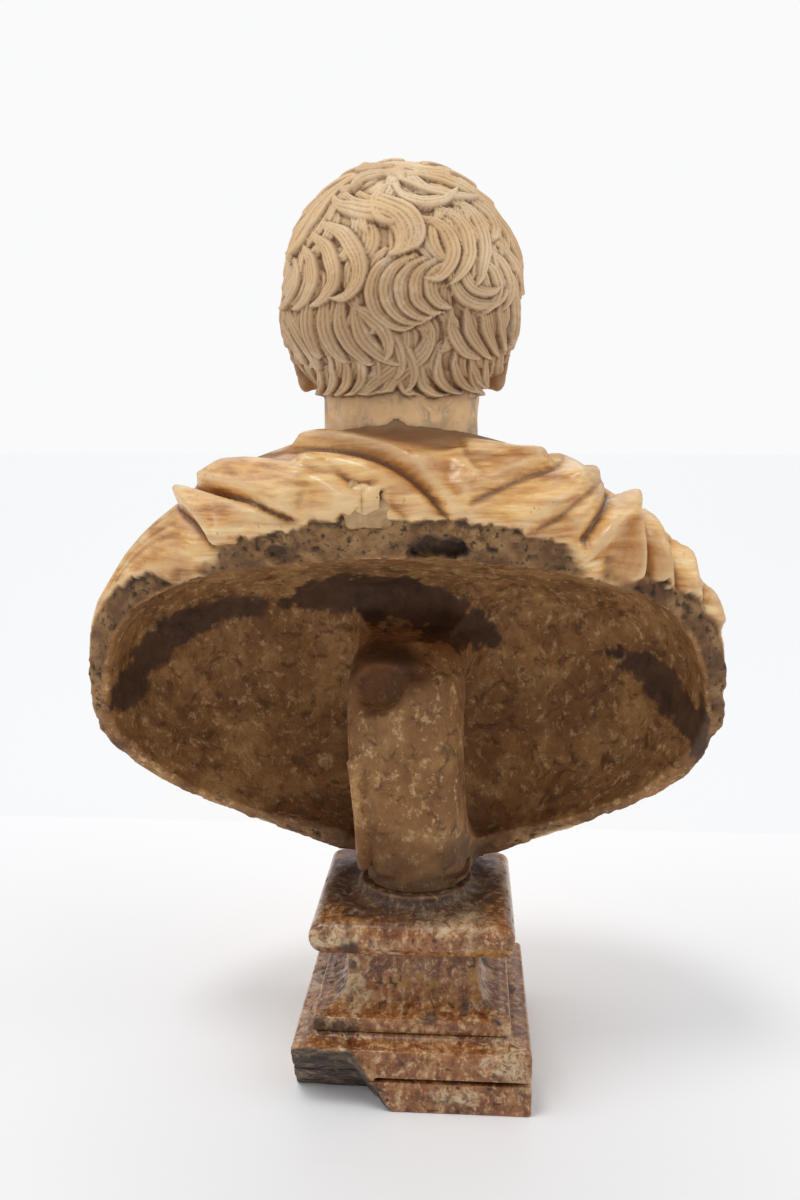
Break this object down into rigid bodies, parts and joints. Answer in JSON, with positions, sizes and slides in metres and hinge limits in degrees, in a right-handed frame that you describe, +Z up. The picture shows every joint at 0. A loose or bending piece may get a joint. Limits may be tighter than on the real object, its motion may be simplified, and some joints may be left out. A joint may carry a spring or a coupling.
{
  "type": "marble bust",
  "caption": "Draped hollow-backed marble bust with a separate wavy-haired head, standing on an iron dowel on a moulded square stone pedestal with one broken corner.",
  "frame": {"origin": "centre of the square footprint on the pedestal's underside", "axes": "+Z up, the face looks along -Y, +X is the viewer's right when facing the face; the hollow back opens along +Y"},
  "size_m": [0.5262, 0.2514, 0.738],
  "materials": {
    "pedestal_marble": "polished, veined, chipped",
    "honey_marble": "polished drapery, rough rim and hollow",
    "pale_marble": "weathered, satin",
    "patch_marble": "rubbed smooth",
    "lime_mortar": "matt, dirty",
    "iron": "rusted",
    "lead": "dull",
    "bronze": "dull"
  },
  "bodies": {
    "pedestal": {"plinth_slab": "pedestal_marble", "slab_bed": "lime_mortar", "base_block": "pedestal_marble", "die_bed": "lime_mortar", "scotia_die": "pedestal_marble", "cap_bed": "lime_mortar", "pedestal_cap": "pedestal_marble", "pedestal_pins": "iron", "bust_dowel": "iron", "dowel_lead": "lead"},
    "bust": {"torso": "honey_marble", "foot_sleeve": "bronze", "rim_patch": "patch_marble", "neck_mortar": "lime_mortar", "neck_bar": "iron", "head": "pale_marble"}
  },
  "joints": [
    {"name": "bust_swivel", "type": "hinge", "parent": "pedestal", "child": "bust", "pos_m": [0, 0, 0.158], "axis": [0, 0, 1], "continuous": true}
  ]
}
